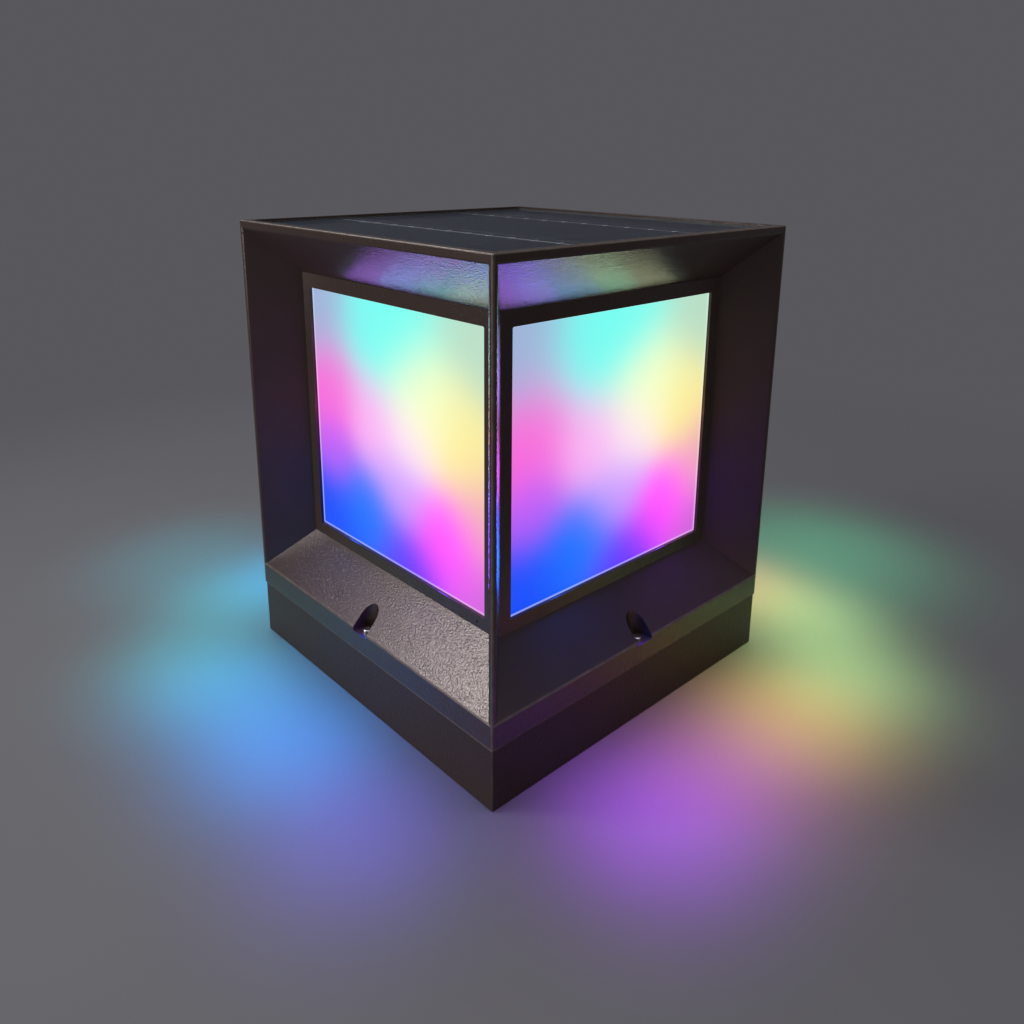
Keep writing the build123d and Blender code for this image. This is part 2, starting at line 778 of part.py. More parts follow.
with BuildPart() as led_plugs:
    for side in SIDES:
        with BuildSketch(side_plane(side, light_board_face, light_plug_bottom_z)):
            with Locations((light_lead_along, light_plug_height / 2)):
                Rectangle(light_plug_width, light_plug_height)
        extrude(amount=light_plug_depth)
finish(led_plugs, "led_plugs")

light_board_screw = slotted_screw(light_board_screw_length)
with BuildPart() as led_board_screws:
    for side in SIDES:
        screw_planes = [side_plane(side, light_board_face, z, x) for x, z in light_board_screw_spots]
        with Locations(*[Location(plane) for plane in screw_planes]):
            add(light_board_screw)
finish(led_board_screws, "led_board_screws")

# Tray: floor of the head with gasket groove, battery well, bosses, standoffs and switch hole
with BuildPart() as tray:
    with BuildSketch(Plane.XY.offset(tray_bottom_z)):
        RectangleRounded(2 * tray_half, 2 * tray_half, tray_corner_radius)
    extrude(amount=tray_thickness)
    with BuildSketch(Plane.XY.offset(tray_top_z)):
        RectangleRounded(2 * tray_half, 2 * tray_half, tray_corner_radius)
        Rectangle(2 * outer_lip_inner, 2 * outer_lip_inner, mode=Mode.SUBTRACT)
        Rectangle(2 * inner_lip_outer, 2 * inner_lip_outer)
        Rectangle(2 * inner_lip_inner, 2 * inner_lip_inner, mode=Mode.SUBTRACT)
    extrude(amount=lip_height)
    with BuildSketch(Plane.XY.offset(tray_top_z)):
        Rectangle(2 * (well_half_x + well_wall), 2 * (well_half_y + well_wall))
    extrude(amount=well_roof_z + well_wall - tray_top_z)
    with BuildSketch(Plane.XY.offset(tray_bottom_z)):
        Rectangle(2 * well_half_x, 2 * well_half_y)
    extrude(amount=well_roof_z - tray_bottom_z, mode=Mode.SUBTRACT)
    with BuildSketch(Plane.XY.offset(tray_top_z)):
        with Locations(*ear_spots, *door_screw_spots):
            Circle(small_boss_radius)
    extrude(amount=small_boss_height)
    with BuildSketch(Plane.XY.offset(well_roof_z + well_wall)):
        with Locations(*control_hole_spots):
            Circle(control_standoff_radius)
    extrude(amount=control_standoff)
    # Pilot holes for the screws of the control board, tower and door
    with BuildSketch(Plane.XY.offset(control_bottom_z)):
        with Locations(*control_hole_spots):
            Circle(small_radius + thread_clearance)
    extrude(amount=-control_pilot_depth, mode=Mode.SUBTRACT)
    with BuildSketch(Plane.XY.offset(ear_bottom_z)):
        with Locations(*ear_spots):
            Circle(small_radius + thread_clearance)
    extrude(amount=-ear_pilot_depth, mode=Mode.SUBTRACT)
    with BuildSketch(Plane.XY.offset(tray_bottom_z)):
        with Locations(*door_screw_spots):
            Circle(m3_radius + thread_clearance)
    extrude(amount=door_pilot_depth, mode=Mode.SUBTRACT)
    # Holes for the tray screws, the switch and the battery leads
    with BuildSketch(Plane.XY.offset(tray_bottom_z)):
        with Locations(*tray_screw_spots):
            Circle(m3_hole_radius)
        with Locations((0, switch_y)):
            Circle(switch_neck_radius + switch_neck_clearance)
    extrude(amount=tray_thickness, mode=Mode.SUBTRACT)
    with BuildSketch(Plane.XY.offset(well_roof_z)):
        with Locations(*battery_lead_spots):
            Circle(battery_lead_radius + lead_gap)
    extrude(amount=well_wall, mode=Mode.SUBTRACT)
finish(tray, "tray")

with BuildPart() as tray_gasket:
    with BuildSketch(Plane.XY.offset(tray_top_z)):
        Rectangle(2 * gasket_outer, 2 * gasket_outer)
        Rectangle(2 * gasket_inner, 2 * gasket_inner, mode=Mode.SUBTRACT)
    extrude(amount=gasket_thickness)
finish(tray_gasket, "tray_gasket")

tray_screw = pan_head_screw(tray_screw_length)
with BuildPart() as tray_screws:
    with Locations(*[downward_spot(x, y, tray_bottom_z) for x, y in tray_screw_spots]):
        add(tray_screw)
finish(tray_screws, "tray_screws")

# Battery: two cells side by side on a foam pad, a bridge contact in front, two contacts behind
battery_spots = [(-battery_pitch / 2, battery_z), (battery_pitch / 2, battery_z)]
battery_front = Plane.XZ.offset(battery_length / 2)
battery_back = Plane.XZ.offset(-battery_length / 2)

with BuildPart() as battery_cells:
    with BuildSketch(battery_back):
        with Locations(*battery_spots):
            Circle(battery_radius)
    extrude(amount=battery_length)
finish(battery_cells, "battery_cells")

with BuildPart() as battery_contacts:
    with BuildSketch(battery_front):
        with Locations((0, battery_z)):
            Rectangle(battery_pitch + contact_size, contact_size)
    extrude(amount=contact_thickness)
    with BuildSketch(battery_back):
        with Locations(*battery_spots):
            Rectangle(contact_size, contact_size)
    extrude(amount=-contact_thickness)
finish(battery_contacts, "battery_contacts")

with BuildPart() as battery_foam:
    with BuildSketch(Plane.XY.offset(door_top_z)):
        Rectangle(2 * (well_half_x - foam_margin), 2 * (well_half_y - foam_margin))
    extrude(amount=foam_thickness)
finish(battery_foam, "battery_foam")

# Door of the battery well with its gasket and screws
with BuildPart() as battery_door:
    with BuildSketch(Plane.XY.offset(door_bottom_z)):
        RectangleRounded(2 * (door_screw_x + door_ear), 2 * (door_gasket_y + door_rim), tray_corner_radius)
        with Locations(*door_screw_spots):
            Circle(m3_hole_radius, mode=Mode.SUBTRACT)
    extrude(amount=door_thickness)
finish(battery_door, "battery_door")

with BuildPart() as battery_door_gasket:
    with BuildSketch(Plane.XY.offset(door_top_z)):
        Rectangle(2 * door_gasket_x, 2 * door_gasket_y)
        Rectangle(
            2 * (door_gasket_x - door_gasket_width),
            2 * (door_gasket_y - door_gasket_width),
            mode=Mode.SUBTRACT,
        )
    extrude(amount=door_gasket_thickness)
finish(battery_door_gasket, "battery_door_gasket")

door_screw = pan_head_screw(door_screw_length)
with BuildPart() as battery_door_screws:
    with Locations(*[downward_spot(x, y, door_bottom_z) for x, y in door_screw_spots]):
        add(door_screw)
finish(battery_door_screws, "battery_door_screws")

# Charge and light controller on the roof of the battery well
with BuildPart() as control_board:
    with BuildSketch(Plane.XY.offset(control_bottom_z)):
        Rectangle(control_width, control_length)
        with Locations(*control_hole_spots):
            Circle(small_hole_radius, mode=Mode.SUBTRACT)
    extrude(amount=control_thickness)
finish(control_board, "control_board")

# Chips as x, y, width, length and height: controller, three light drivers, charger, its coil
chips = [
    (-4.0, 2.0, 12.0, 12.0, 1.6),
    (-32.0, 8.0, 6.0, 5.0, 1.6),
    (-32.0, -4.0, 6.0, 5.0, 1.6),
    (-20.0, -14.0, 5.0, 6.0, 1.6),
    (16.0, 10.0, 6.0, 5.0, 1.6),
    (18.0, -4.0, 12.0, 12.0, 6.0),
]
with BuildPart() as control_chips:
    for x, y, width, length, height in chips:
        with BuildSketch(Plane.XY.offset(control_top_z)):
            with Locations((x, y)):
                Rectangle(width, length)
        extrude(amount=height)
finish(control_chips, "control_chips")

capacitor_row_y = control_length / 2 - control_row_inset
capacitor_spots = [(33.0, -6.0), (-10.0, capacitor_row_y - 2.0), (-36.0, capacitor_row_y)]
with BuildPart() as control_capacitors:
    with BuildSketch(Plane.XY.offset(control_top_z)):
        with Locations(*capacitor_spots):
            Circle(capacitor_radius)
    extrude(amount=capacitor_height)
finish(control_capacitors, "control_capacitors")

# Plugs: one for each lead at the board's edges, and one straight under the solar lead
with BuildPart() as control_plugs:
    with BuildSketch(Plane.XY.offset(control_top_z)):
        for side in SIDES:
            plug_reach = plug_faces[side] - plug_depth / 2
            with Locations(*[side_point(side, along, plug_reach) for along in wall_leads[side]]):
                Rectangle(plug_width, plug_depth, rotation=90 * side)
        with Locations(side_point(2, 0, plug_faces[2] - plug_depth / 2)):
            Rectangle(battery_plug_width, plug_depth)
        with Locations((solar_lead_x, solar_lead_y)):
            Rectangle(plug_width, plug_depth)
    extrude(amount=plug_height)
finish(control_plugs, "control_plugs")

control_screw = slotted_screw(control_screw_length)
with BuildPart() as control_board_screws:
    with Locations(*[(x, y, control_top_z) for x, y in control_hole_spots]):
        add(control_screw)
finish(control_board_screws, "control_board_screws")

# Remote-control receiver: board, eye, clear pin in the frame's hole, screws
with BuildPart() as receiver_board:
    with BuildSketch(side_plane(0, receiver_board_back)):
        with Locations((eye_x, receiver_top_z - receiver_board_height / 2)):
            Rectangle(receiver_board_width, receiver_board_height)
        with Locations(*receiver_post_spots):
            Circle(small_hole_radius, mode=Mode.SUBTRACT)
    extrude(amount=receiver_board_thickness)
finish(receiver_board, "receiver_board")

with BuildPart() as receiver_eye:
    with BuildSketch(side_plane(0, diffuser_back)):
        with Locations((eye_x, receiver_top_z - receiver_eye_height / 2)):
            Rectangle(receiver_eye_width, receiver_eye_height)
    extrude(amount=flange_back - lens_flange_thickness - diffuser_back)
finish(receiver_eye, "receiver_eye")

with BuildPart() as receiver_lens:
    with BuildSketch(side_plane(0, flange_back - lens_flange_thickness)):
        with Locations((eye_x, eye_z)):
            Circle(lens_flange_radius)
    extrude(amount=lens_flange_thickness)
    with BuildSketch(side_plane(0, flange_back)):
        with Locations((eye_x, eye_z)):
            Circle(eye_hole_radius - lens_clearance)
    extrude(amount=frame_thickness - lens_sink)
finish(receiver_lens, "receiver_lens")

receiver_screw = slotted_screw(receiver_screw_length).rotate(Axis.X, 180)
with BuildPart() as receiver_screws:
    with Locations(*[Location(side_plane(0, receiver_board_back, z, x)) for x, z in receiver_post_spots]):
        add(receiver_screw)
finish(receiver_screws, "receiver_screws")

# Push switch through the tray: body, seal, nut and plunger
with BuildPart() as switch_body:
    with BuildSketch(Plane.XY.offset(switch_neck_z)):
        with Locations((0, switch_y)):
            Circle(switch_neck_radius)
    extrude(amount=switch_neck_length)
    with BuildSketch(Plane.XY.offset(switch_flange_z)):
        with Locations((0, switch_y)):
            Circle(switch_flange_radius)
    extrude(amount=switch_flange_thickness)
    with BuildSketch(Plane.XY.offset(switch_case_z)):
        with Locations((0, switch_y)):
            Rectangle(switch_case_width, switch_case_width)
    extrude(amount=switch_case_height)
    with BuildSketch(Plane.XY.offset(switch_neck_z)):
        with Locations((0, switch_y)):
            Circle(button_radius + button_clearance)
    extrude(amount=button_mouth, mode=Mode.SUBTRACT)
    with BuildSketch(Plane.XY.offset(button_step_z)):
        with Locations((0, switch_y)):
            Circle(button_collar_radius + button_clearance)
    extrude(amount=button_bore_z - button_step_z, mode=Mode.SUBTRACT)
finish(switch_body, "switch_body")

with BuildPart() as switch_seal:
    with BuildSketch(Plane.XY.offset(tray_top_z)):
        with Locations((0, switch_y)):
            Circle(switch_flange_radius)
            Circle(switch_neck_radius + switch_neck_clearance, mode=Mode.SUBTRACT)
    extrude(amount=switch_seal_thickness)
finish(switch_seal, "switch_seal")

with BuildPart() as switch_nut:
    with BuildSketch(Plane.XY.offset(tray_bottom_z)):
        with Locations((0, switch_y)):
            RegularPolygon(switch_nut_width / 2, 6, major_radius=False)
            Circle(switch_neck_radius + thread_clearance, mode=Mode.SUBTRACT)
    extrude(amount=-switch_nut_thickness)
finish(switch_nut, "switch_nut")

with BuildPart() as switch_button:
    with BuildSketch(Plane.XY.offset(button_bottom_z)):
        with Locations((0, switch_y)):
            Circle(button_radius)
    extrude(amount=button_collar_z - button_bottom_z)
    fillet(switch_button.faces().sort_by(Axis.Z)[0].edges(), edge_radius)
    with BuildSketch(Plane.XY.offset(button_collar_z)):
        with Locations((0, switch_y)):
            Circle(button_collar_radius)
    extrude(amount=button_collar_height)
    with BuildSketch(Plane.XY.offset(button_collar_z + button_collar_height)):
        with Locations((0, switch_y)):
            Circle(button_stem_radius)
    extrude(amount=button_stem_height)
finish(switch_button, "switch_button")

# Plinth: open tray with a tongue for the skirt, screw bosses, ribs and four anchor holes
boss_clear = 2 * (pocket_boss_radius + tongue_boss_gap)
with BuildPart() as plinth:
    with BuildSketch(Plane.XY):
        Rectangle(2 * shoulder_reach, 2 * shoulder_reach)
    extrude(amount=plinth_height)
    fillet(plinth.edges().filter_by(Axis.Z), corner_radius)
    fillet(plinth.faces().sort_by(Axis.Z)[0].edges(), corner_radius)
    chamfer(plinth.faces().sort_by(Axis.Z)[-1].edges(), edge_radius)
    with BuildSketch(Plane.XY.offset(plinth_floor)):
        Rectangle(2 * plinth_inner, 2 * plinth_inner)
    extrude(amount=plinth_height - plinth_floor, mode=Mode.SUBTRACT)
    # Tongue: rooted in the wall below the seam, clear of the skirt above it
    with BuildSketch(Plane.XY.offset(seam_z - tongue_depth)):
        Rectangle(2 * (plinth_inner + wall_bite), 2 * (plinth_inner + wall_bite))
        Rectangle(2 * tongue_inner, 2 * tongue_inner, mode=Mode.SUBTRACT)
    extrude(amount=tongue_depth)
    with BuildSketch(Plane.XY.offset(seam_z)):
        Rectangle(2 * tongue_outer, 2 * tongue_outer)
        Rectangle(2 * tongue_inner, 2 * tongue_inner, mode=Mode.SUBTRACT)
        Rectangle(boss_clear, column_width, mode=Mode.SUBTRACT)
        Rectangle(column_width, boss_clear, mode=Mode.SUBTRACT)
    extrude(amount=tongue_height)
    # Bosses for the head screws, joined to the walls
    with BuildSketch(Plane.XY.offset(plinth_floor)):
        with Locations(*[side_point(side, 0, pocket_reach) for side in SIDES]):
            Circle(plinth_boss_radius)
        Rectangle(2 * (plinth_inner + wall_bite), 2 * (plinth_inner + wall_bite), mode=Mode.INTERSECT)
    extrude(amount=plinth_height - plinth_floor)
    # Crossed floor ribs and anchor pads
    with BuildSketch(Plane.XY.offset(plinth_floor)):
        Rectangle(2 * pocket_reach, rib_thickness)
        Rectangle(rib_thickness, 2 * pocket_reach)
    extrude(amount=rib_height)
    with BuildSketch(Plane.XY.offset(plinth_floor)):
        with GridLocations(anchor_spacing, anchor_spacing, 2, 2):
            Circle(anchor_pad_radius)
    extrude(amount=anchor_pad_height)
    # Anchor holes, drain holes and bores for the inserts
    with BuildSketch(Plane.XY):
        with GridLocations(anchor_spacing, anchor_spacing, 2, 2):
            Circle(anchor_hole_radius)
    extrude(amount=plinth_floor + anchor_pad_height, mode=Mode.SUBTRACT)
    with BuildSketch(Plane.XY):
        with GridLocations(drain_spacing, drain_spacing, 2, 2):
            Circle(drain_radius)
    extrude(amount=plinth_floor, mode=Mode.SUBTRACT)
    with BuildSketch(Plane.XY.offset(seam_z)):
        with Locations(*[side_point(side, 0, pocket_reach) for side in SIDES]):
            Circle(insert_radius + insert_clearance)
    extrude(amount=-insert_bore_depth, mode=Mode.SUBTRACT)
finish(plinth, "plinth")

# Brass inserts in the plinth and the four screws that hold the head down
with BuildPart() as plinth_inserts:
    with BuildSketch(Plane.XY.offset(seam_z - insert_length)):
        for side in SIDES:
            with Locations(side_point(side, 0, pocket_reach)):
                Circle(insert_radius)
                Circle(m3_radius + thread_clearance, mode=Mode.SUBTRACT)
    extrude(amount=insert_length)
finish(plinth_inserts, "plinth_inserts")

head_screw = pan_head_screw(head_screw_length)
with BuildPart() as head_screws:
    with Locations(*[side_point(side, 0, pocket_reach, pocket_floor_z) for side in SIDES]):
        add(head_screw)
finish(head_screws, "head_screws")

# Leads from the solar panel, battery, light boards, switch and receiver to the control board
with BuildPart() as solar_lead:
    with BuildSketch(Plane.XY.offset(plug_top_z)):
        with Locations((solar_lead_x, solar_lead_y)):
            Circle(lead_radius)
    extrude(amount=backboard_bottom_z - plug_top_z)
finish(solar_lead, "solar_lead")

with BuildPart() as battery_leads:
    for x, y in battery_lead_spots:
        battery_route = [
            (x, y, battery_z + contact_size / 2),
            (x, y, lead_entry_z),
            (x, plug_faces[2], lead_entry_z),
        ]
        add(lead_tube(battery_route, battery_lead_radius, battery_lead_bend))
finish(battery_leads, "battery_leads")

light_lead_reach = light_board_face + light_plug_depth / 2
with BuildPart() as led_leads:
    for side in SIDES:
        light_route = [
            side_point(side, light_lead_along, light_lead_reach, light_plug_bottom_z),
            side_point(side, light_lead_along, light_lead_reach, lead_hole_z),
            side_point(side, light_lead_along, lead_rise_reach, lead_hole_z),
            side_point(side, light_lead_along, lead_rise_reach, lead_entry_z),
            side_point(side, light_lead_along, plug_faces[side], lead_entry_z),
        ]
        add(lead_tube(light_route, lead_radius, lead_bend))
finish(led_leads, "led_leads")

switch_route = [
    (0, switch_y, switch_top_z),
    (0, switch_y, lead_hole_z),
    (0, -lead_rise_reach, lead_hole_z),
    (0, -lead_rise_reach, lead_entry_z),
    (0, -plug_faces[0], lead_entry_z),
]
with BuildPart() as switch_lead:
    add(lead_tube(switch_route, lead_radius, lead_bend))
finish(switch_lead, "switch_lead")

receiver_lead_z = receiver_top_z - receiver_board_height + receiver_lead_height
receiver_route = [
    (eye_x, -receiver_board_back, receiver_lead_z),
    (eye_x, -receiver_board_back + receiver_lead_run, receiver_lead_z),
    (receiver_lead_along, -tower_half - receiver_lead_turn, lead_hole_z),
    (receiver_lead_along, -lead_rise_reach, lead_hole_z),
    (receiver_lead_along, -lead_rise_reach, lead_entry_z),
    (receiver_lead_along, -plug_faces[0], lead_entry_z),
]
with BuildPart() as receiver_lead:
    add(lead_tube(receiver_route, lead_radius, lead_bend))
finish(receiver_lead, "receiver_lead")
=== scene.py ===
import bpy
import math
import numpy as np
from mathutils import Matrix, Vector


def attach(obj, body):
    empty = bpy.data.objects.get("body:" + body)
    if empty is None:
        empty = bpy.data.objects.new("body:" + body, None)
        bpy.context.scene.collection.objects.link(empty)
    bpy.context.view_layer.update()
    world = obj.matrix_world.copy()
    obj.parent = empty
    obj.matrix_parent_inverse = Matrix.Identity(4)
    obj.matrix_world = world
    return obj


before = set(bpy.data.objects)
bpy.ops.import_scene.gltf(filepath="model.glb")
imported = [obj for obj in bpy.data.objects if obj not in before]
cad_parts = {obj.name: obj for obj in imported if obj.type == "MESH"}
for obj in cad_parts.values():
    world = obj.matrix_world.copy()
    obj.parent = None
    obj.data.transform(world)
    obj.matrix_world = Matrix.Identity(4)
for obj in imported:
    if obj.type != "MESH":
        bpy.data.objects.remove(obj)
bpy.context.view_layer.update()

# Camera at the photograph's viewing angle: a little above the lamp's top, looking at its front right
# corner. The lens and the small downward shift give the photograph's framing of 1024 by 1024.
frame_pixels = 1024.0
camera_place = Vector((0.41353, -0.38045, 0.34231))
camera_turn = math.radians(47.162)
camera_dip = math.radians(14.708)
camera_tilt = math.radians(0.418)
camera_focal_pixels = 859.7
camera_centre_row = 378.0

ahead = Vector((
    -math.sin(camera_turn) * math.cos(camera_dip),
    math.cos(camera_turn) * math.cos(camera_dip),
    -math.sin(camera_dip),
))
level_right = ahead.cross(Vector((0, 0, 1))).normalized()
level_up = level_right.cross(ahead)
tilted_right = math.cos(camera_tilt) * level_right + math.sin(camera_tilt) * level_up
tilted_up = math.cos(camera_tilt) * level_up - math.sin(camera_tilt) * level_right
camera_data = bpy.data.cameras.new("camera")
camera_data.sensor_width = 36.0
camera_data.lens = camera_data.sensor_width * camera_focal_pixels / frame_pixels
camera_data.shift_y = (camera_centre_row - frame_pixels / 2) / frame_pixels
camera_data.clip_start = 0.01
camera_data.clip_end = 50.0
camera = bpy.data.objects.new("camera", camera_data)
camera_axes = Matrix((tilted_right, tilted_up, -ahead)).transposed()
camera.matrix_world = Matrix.Translation(camera_place) @ camera_axes.to_4x4()
bpy.context.scene.collection.objects.link(camera)
bpy.context.scene.camera = camera
bpy.context.scene.view_settings.view_transform = "Standard"


# Studio lamps: a soft box overhead, a broad one low in front, a small one on the left that brushes the
# front skirt near its corner, and two for the far sides.
lamp_aim = Vector((0, 0, 0.15))


def soft_box(name, place, width, power):
    """Square lamp of a width in metres, turned to the middle of the light."""
    lamp = bpy.data.lights.new(name, "AREA")
    lamp.shape = "SQUARE"
    lamp.size = width
    lamp.energy = power
    box = bpy.data.objects.new(name, lamp)
    aim = (lamp_aim - Vector(place)).to_track_quat("-Z", "Y")
    box.matrix_world = Matrix.Translation(place) @ aim.to_matrix().to_4x4()
    bpy.context.scene.collection.objects.link(box)


soft_box("top_box", (0.0, 0.15, 2.4), 1.3, 25.0)
soft_box("front_box", (-0.70, -1.90, 0.55), 1.0, 14.0)
soft_box("key_box", (-0.88, -1.12, 1.00), 0.30, 9.5)
soft_box("right_box", (1.70, 0.25, 1.15), 0.8, 3.0)
soft_box("back_box", (-1.60, 0.10, 1.60), 0.8, 8.0)


def add_node(material, kind, **values):
    """Shader node of a kind. Values set its inputs by name, with _ for a space, or else its properties."""
    made = material.node_tree.nodes.new(kind)
    for name, value in values.items():
        socket_name = name.replace("_", " ")
        if socket_name in made.inputs:
            made.inputs[socket_name].default_value = value
        else:
            setattr(made, name, value)
    return made


def join(material, source, target):
    """Link from one socket to another."""
    material.node_tree.links.new(source, target)


# World: grey where the camera or a reflection sees it, and a plain white light on everything.
backdrop_grey = (0.098, 0.096, 0.108, 1.0)
world = bpy.data.worlds.new("studio")
world.use_nodes = True
world.node_tree.nodes.clear()
seen = add_node(world, "ShaderNodeBackground", Color=backdrop_grey, Strength=1.0)
lit = add_node(world, "ShaderNodeBackground", Color=(1.0, 1.0, 1.0, 1.0), Strength=0.16)
path = add_node(world, "ShaderNodeLightPath")
seen_or_glossy = add_node(world, "ShaderNodeMath", operation="MAXIMUM")
seen_at_all = add_node(world, "ShaderNodeMath", operation="MAXIMUM")
choose = add_node(world, "ShaderNodeMixShader")
world_output = add_node(world, "ShaderNodeOutputWorld")
join(world, path.outputs["Is Camera Ray"], seen_or_glossy.inputs[0])
join(world, path.outputs["Is Glossy Ray"], seen_or_glossy.inputs[1])
join(world, seen_or_glossy.outputs[0], seen_at_all.inputs[0])
join(world, path.outputs["Is Transmission Ray"], seen_at_all.inputs[1])
join(world, seen_at_all.outputs[0], choose.inputs["Fac"])
join(world, lit.outputs["Background"], choose.inputs[1])
join(world, seen.outputs["Background"], choose.inputs[2])
join(world, choose.outputs["Shader"], world_output.inputs["Surface"])
bpy.context.scene.world = world


# Floor: a wide round sheet of mid-grey studio vinyl, darker than a pale floor so that the coloured light
# shows on it as in the photograph. Far off it takes the backdrop's grey, so that no horizon line shows.
def new_finish(name, **values):
    """Material with plain values on its Principled shader; returns it, the shader and Object coordinates."""
    finish = bpy.data.materials.new(name)
    finish.use_nodes = True
    shader = finish.node_tree.nodes["Principled BSDF"]
    for key, value in values.items():
        shader.inputs[key.replace("_", " ")].default_value = value
    place = add_node(finish, "ShaderNodeTexCoord")
    return finish, shader, place.outputs["Object"]


def blend_colours(finish, factor, low, high):
    """Mix of two plain colours by a factor that changes over the surface; returns the colour."""
    mix = add_node(finish, "ShaderNodeMix", data_type="RGBA")
    mix.inputs[6].default_value = (*low, 1.0)
    mix.inputs[7].default_value = (*high, 1.0)
    join(finish, factor, mix.inputs["Factor"])
    return mix.outputs[2]


def noise(finish, place, size, detail=2.0, roughness=0.5):
    """Noise whose blots are about a size in metres; returns its value."""
    blots = add_node(finish, "ShaderNodeTexNoise", Scale=1.0 / size, Detail=detail, Roughness=roughness)
    join(finish, place, blots.inputs["Vector"])
    return blots.outputs["Fac"]


floor_radius = 9.0
floor_turns = np.linspace(0.0, 2.0 * math.pi, 97)[:-1]
floor_rim = np.stack([np.cos(floor_turns), np.sin(floor_turns), 0.0 * floor_turns], axis=1) * floor_radius
floor_mesh = bpy.data.meshes.new("floor")
floor_mesh.from_pydata(floor_rim.tolist(), [], [list(range(len(floor_rim)))])
floor = bpy.data.objects.new("floor", floor_mesh)
bpy.context.scene.collection.objects.link(floor)
floor_finish, floor_shader, floor_place = new_finish("grey_vinyl", Roughness=0.6, Specular_IOR_Level=0.3)
floor_mottle = noise(floor_finish, floor_place, 0.3, 3.0)
floor_tone = blend_colours(floor_finish, floor_mottle, (0.104, 0.102, 0.112), (0.118, 0.116, 0.126))
join(floor_finish, floor_tone, floor_shader.inputs["Base Color"])
floor_far = add_node(floor_finish, "ShaderNodeVectorMath", operation="LENGTH")
join(floor_finish, floor_place, floor_far.inputs[0])
floor_fade = add_node(floor_finish, "ShaderNodeMapRange", From_Min=0.20, From_Max=0.95)
floor_fade.interpolation_type = "SMOOTHSTEP"
join(floor_finish, floor_far.outputs["Value"], floor_fade.inputs["Value"])
floor_path = add_node(floor_finish, "ShaderNodeLightPath")
floor_glossy = add_node(floor_finish, "ShaderNodeMath", operation="MAXIMUM")
floor_any = add_node(floor_finish, "ShaderNodeMath", operation="MAXIMUM")
floor_seen = add_node(floor_finish, "ShaderNodeMath", operation="MULTIPLY")
join(floor_finish, floor_path.outputs["Is Camera Ray"], floor_glossy.inputs[0])
join(floor_finish, floor_path.outputs["Is Glossy Ray"], floor_glossy.inputs[1])
join(floor_finish, floor_glossy.outputs[0], floor_any.inputs[0])
join(floor_finish, floor_path.outputs["Is Transmission Ray"], floor_any.inputs[1])
join(floor_finish, floor_fade.outputs["Result"], floor_seen.inputs[0])
join(floor_finish, floor_any.outputs[0], floor_seen.inputs[1])
floor_haze = add_node(floor_finish, "ShaderNodeEmission", Color=backdrop_grey, Strength=1.0)
floor_mix = add_node(floor_finish, "ShaderNodeMixShader")
join(floor_finish, floor_seen.outputs[0], floor_mix.inputs["Fac"])
join(floor_finish, floor_shader.outputs["BSDF"], floor_mix.inputs[1])
join(floor_finish, floor_haze.outputs["Emission"], floor_mix.inputs[2])
floor_output = floor_finish.node_tree.nodes["Material Output"]
join(floor_finish, floor_mix.outputs["Shader"], floor_output.inputs["Surface"])
floor.data.materials.append(floor_finish)


# Housing and plinth: dark bronze-brown moulded plastic with a fine spark-eroded texture, and a painted
# highlight a little lighter along the outer corners, the crease above the skirt, the seam and the top rim.
def dress(finish, *names):
    """Gives a finish to CAD nodes, in their objects' own material slots."""
    for name in names:
        for material_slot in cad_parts[name].material_slots:
            material_slot.link = "OBJECT"
            material_slot.material = finish


def spread(finish, value, low, high):
    """Value from 0 to 1 carried over to a range from low to high."""
    ramp = add_node(finish, "ShaderNodeMapRange", To_Min=low, To_Max=high)
    join(finish, value, ramp.inputs["Value"])
    return ramp.outputs["Result"]


def relief(finish, shader, height, depth):
    """Bump of a depth in metres on a shader."""
    bump = add_node(finish, "ShaderNodeBump", Strength=1.0, Distance=depth)
    join(finish, height, bump.inputs["Height"])
    join(finish, bump.outputs["Normal"], shader.inputs["Normal"])


def new_group(name, inputs, outputs):
    """Empty node group with named sockets; returns it, its input node and its output node."""
    group = bpy.data.node_groups.new(name, "ShaderNodeTree")
    for socket_name, kind in inputs:
        group.interface.new_socket(socket_name, in_out="INPUT", socket_type=kind)
    for socket_name, kind in outputs:
        group.interface.new_socket(socket_name, in_out="OUTPUT", socket_type=kind)
    return group, group.nodes.new("NodeGroupInput"), group.nodes.new("NodeGroupOutput")


def grain_group():
    """Grain of a mould: clouds of a wide size, and a grain with its own finer half, both as values."""
    group, start, end = new_group(
        "mould_grain",
        (("Place", "NodeSocketVector"), ("Cloud Scale", "NodeSocketFloat"),
         ("Grain Scale", "NodeSocketFloat")),
        (("Clouds", "NodeSocketFloat"), ("Grain", "NodeSocketFloat")),
    )
    for scale_name, out_name, detail in (("Cloud Scale", "Clouds", 4.0), ("Grain Scale", "Grain", 2.0)):
        blots = group.nodes.new("ShaderNodeTexNoise")
        blots.inputs["Detail"].default_value = detail
        group.links.new(start.outputs["Place"], blots.inputs["Vector"])
        group.links.new(start.outputs[scale_name], blots.inputs["Scale"])
        group.links.new(blots.outputs["Fac"], end.inputs[out_name])
    return group


mould_grain = grain_group()


